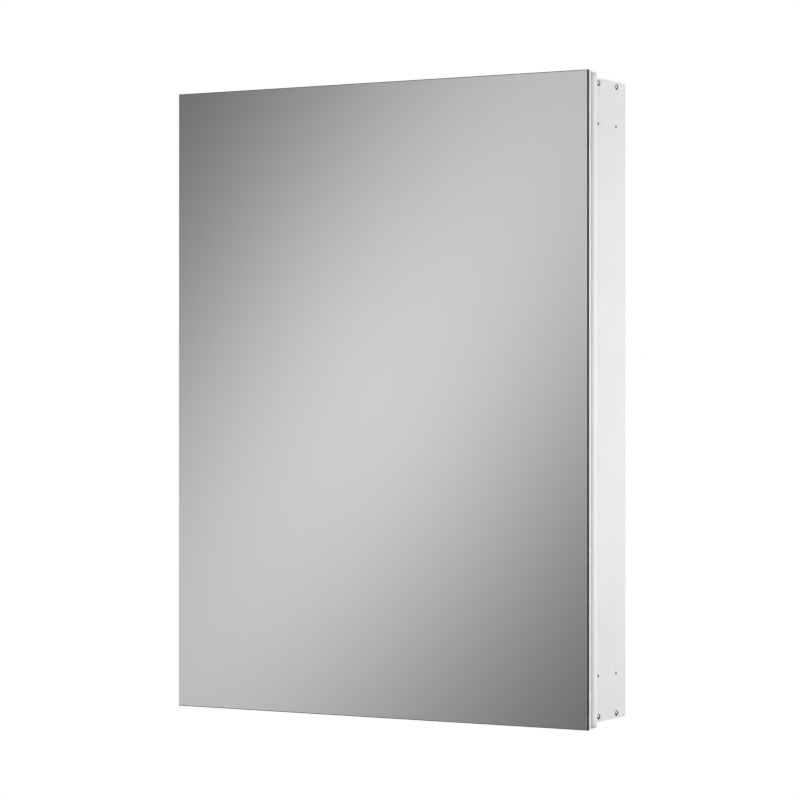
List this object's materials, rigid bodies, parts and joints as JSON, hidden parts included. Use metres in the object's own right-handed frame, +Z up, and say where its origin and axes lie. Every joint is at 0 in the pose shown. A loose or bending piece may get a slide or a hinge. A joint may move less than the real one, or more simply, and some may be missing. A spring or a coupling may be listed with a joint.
{
  "type": "mirror cabinet",
  "caption": "Wall-hung medicine cabinet with a frameless mirror door on a continuous hinge, magnetic catches, glass shelves on sliding clips and an extruded white case.",
  "frame": {"origin": "centre of the case's flat back face, on the wall", "axes": "+X to the right for someone facing the mirror, +Y out of the back into the wall, +Z up; the mirror faces -Y"},
  "size_m": [0.492, 0.0973, 0.66],
  "materials": {
    "mirror": "silvered float glass with a fine polished arris",
    "white_coated_aluminium": "satin white powder coat on extruded aluminium",
    "white_coated_sheet": "satin white coated aluminium sheet",
    "white_coated_frame": "satin white powder coat on a crowned aluminium extrusion",
    "white_backing": "satin white panel edge",
    "white_inner_panel": "satin white foam-core sheet",
    "shelf_glass": "clear float glass with polished edges",
    "clip_metal": "satin anodised",
    "bright_screw_steel": "bright nickel-plated dome",
    "screw_steel": "zinc-plated",
    "zinc_steel": "zinc-plated strip",
    "hinge_steel": "brushed stainless steel",
    "pin_steel": "drawn stainless wire",
    "catch_plastic": "white moulded plastic",
    "magnet": "dark sintered ferrite",
    "pole_steel": "zinc-plated",
    "strike_steel": "nickel-plated",
    "bumper_rubber": "soft translucent dome",
    "key_aluminium": "cast, plain"
  },
  "bodies": {
    "cabinet": {"back_panel": "white_coated_sheet", "back_screws": "screw_steel", "bottom_panel": "white_coated_aluminium", "catch_body_lower": "catch_plastic", "catch_body_upper": "catch_plastic", "catch_magnet_lower": "magnet", "catch_magnet_upper": "magnet", "catch_poles_lower": "pole_steel", "catch_poles_upper": "pole_steel", "catch_screws": "screw_steel", "clip_screws_lower": "screw_steel", "clip_screws_middle": "screw_steel", "clip_screws_upper": "screw_steel", "corner_screws": "bright_screw_steel", "door_bumpers": "bumper_rubber", "fixing_rail_lower": "zinc_steel", "fixing_rail_upper": "zinc_steel", "hinge_leaf_case": "hinge_steel", "hinge_pin": "pin_steel", "hinge_screws_case": "screw_steel", "shelf_clips_lower": "clip_metal", "shelf_clips_middle": "clip_metal", "shelf_clips_upper": "clip_metal", "shelf_lower": "shelf_glass", "shelf_middle": "shelf_glass", "shelf_upper": "shelf_glass", "side_panel_left": "white_coated_aluminium", "side_panel_right": "white_coated_aluminium", "top_panel": "white_coated_aluminium"},
    "door": {"mirror_glass": "mirror", "door_backing": "white_backing", "door_stile_hinge": "white_coated_frame", "door_stile_latch": "white_coated_frame", "door_rail_top": "white_coated_frame", "door_rail_bottom": "white_coated_frame", "door_corner_keys": "key_aluminium", "door_inner_panel": "white_inner_panel", "hinge_leaf_door": "hinge_steel", "hinge_screws_door": "screw_steel", "strike_plate_upper": "strike_steel", "strike_plate_lower": "strike_steel", "strike_screws": "screw_steel"}
  },
  "joints": [
    {"name": "door_hinge", "type": "hinge", "parent": "cabinet", "child": "door", "pos_m": [-0.2434, -0.071, 0], "axis": [0, 0, -1], "range_deg": [0, 170]}
  ]
}
